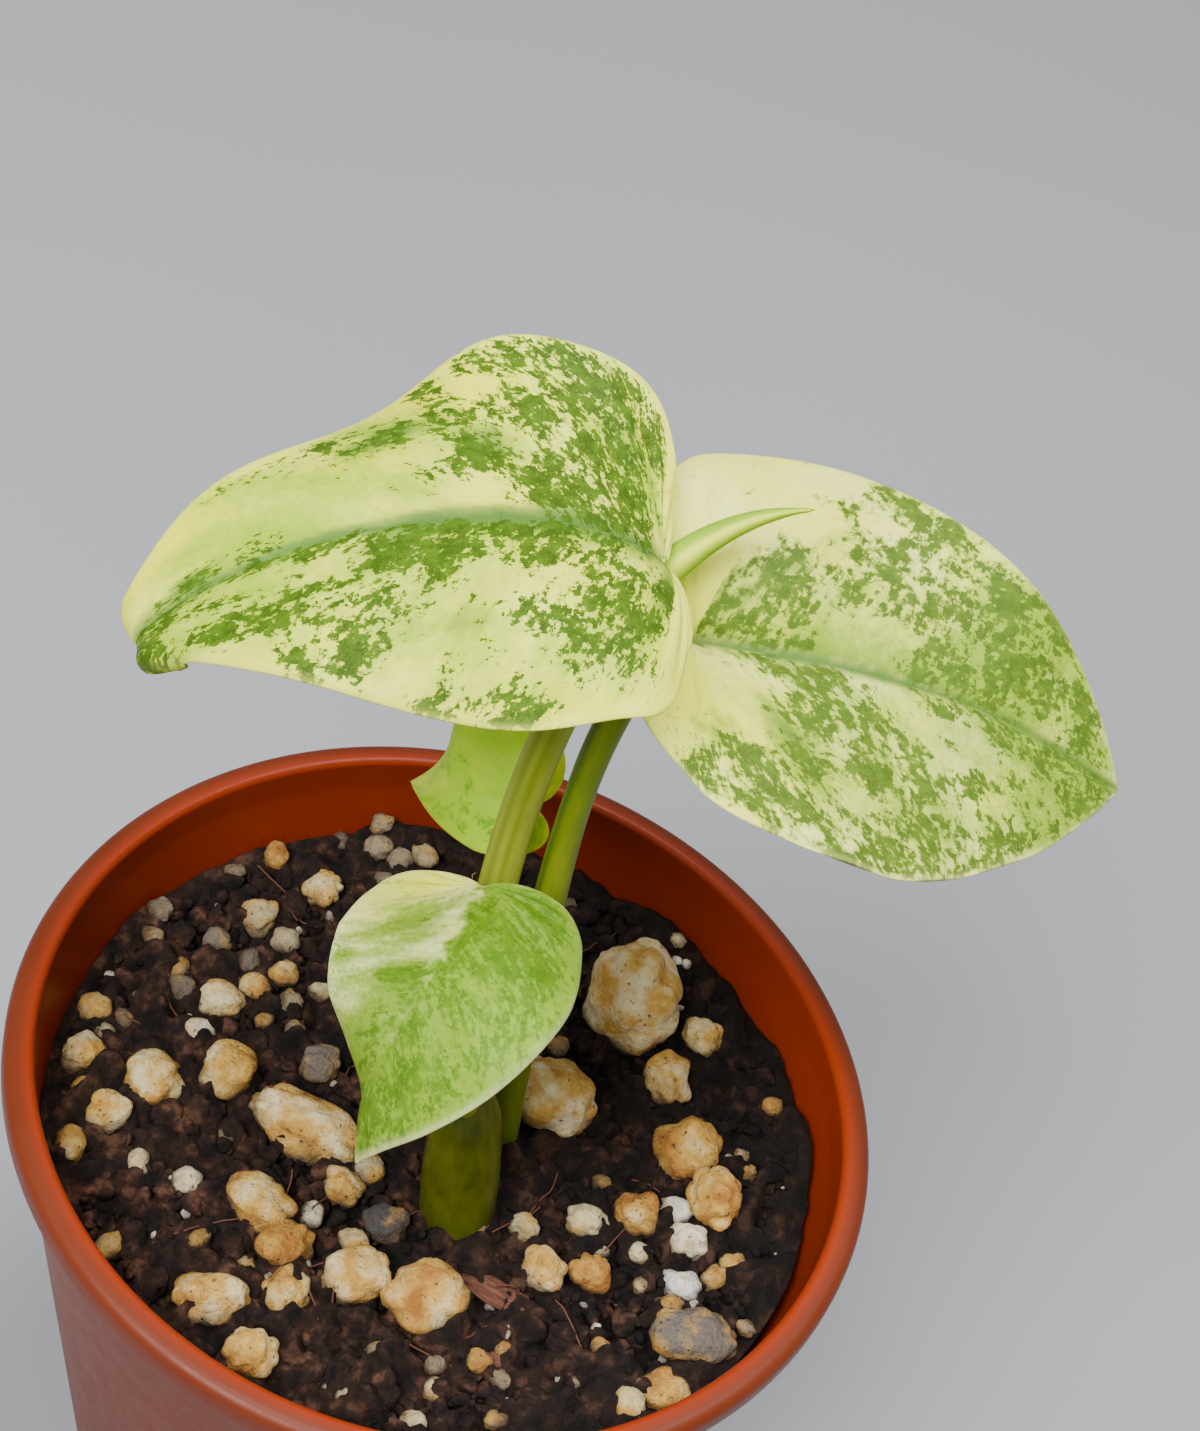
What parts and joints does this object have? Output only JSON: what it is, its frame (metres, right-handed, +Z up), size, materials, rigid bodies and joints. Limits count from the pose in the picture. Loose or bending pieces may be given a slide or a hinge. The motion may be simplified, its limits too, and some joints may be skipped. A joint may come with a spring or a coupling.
{
  "type": "potted snow monstera plant",
  "caption": "Young snow-variegated monstera with heart-shaped cream and green leaves and a rolled new leaf, in a small brown nursery pot of peat and pumice.",
  "frame": {"origin": "middle of the pot's underside, on the surface that the pot stands on", "axes": "+Z up out of the pot; the big left leaf points along -X, the big right leaf along +X and the small front leaf along -Y"},
  "size_m": [0.1004, 0.09, 0.1438],
  "materials": {
    "pot": "semi-matt red-brown plastic",
    "soil": "moist dark peat with fibres",
    "roots": "pale fleshy root",
    "stem": "smooth dark olive stem",
    "petiole": "smooth grooved green stalk",
    "leaf_cream": "satin leaf, cream with mottled green",
    "leaf_green": "satin leaf, green with cream streaks",
    "new_leaf": "satin rolled new leaf, green and cream",
    "pumice": "rough porous stone, cream to ochre",
    "bark": "rough reddish bark"
  },
  "bodies": {
    "root": {"pot": "pot", "stem": "stem", "roots": "roots", "leaf_left": "leaf_cream", "leaf_right": "leaf_cream", "leaf_front": "leaf_green", "leaf_back": "leaf_green", "petiole_left": "petiole", "petiole_right": "petiole", "petiole_front": "petiole", "petiole_back": "petiole", "new_leaf": "new_leaf", "soil": "soil", "stone_01": "pumice", "stone_02": "pumice", "stone_03": "pumice", "stone_04": "pumice", "stone_05": "pumice", "stone_06": "pumice", "stone_07": "pumice", "stone_08": "pumice", "stone_09": "pumice", "stone_10": "pumice", "stone_11": "pumice", "stone_12": "pumice", "stone_13": "pumice", "stone_14": "pumice", "stone_15": "pumice", "stone_16": "pumice", "stone_17": "pumice", "stone_18": "pumice", "stone_19": "pumice", "stone_20": "pumice", "stone_21": "pumice", "stone_22": "pumice", "stone_23": "pumice", "stone_24": "pumice", "stone_25": "pumice", "stone_26": "pumice", "stone_27": "pumice", "stone_28": "pumice", "stone_29": "pumice", "stone_30": "pumice", "stone_31": "pumice", "stone_32": "pumice", "bark_chip_1": "bark", "bark_chip_2": "bark"}
  },
  "joints": []
}
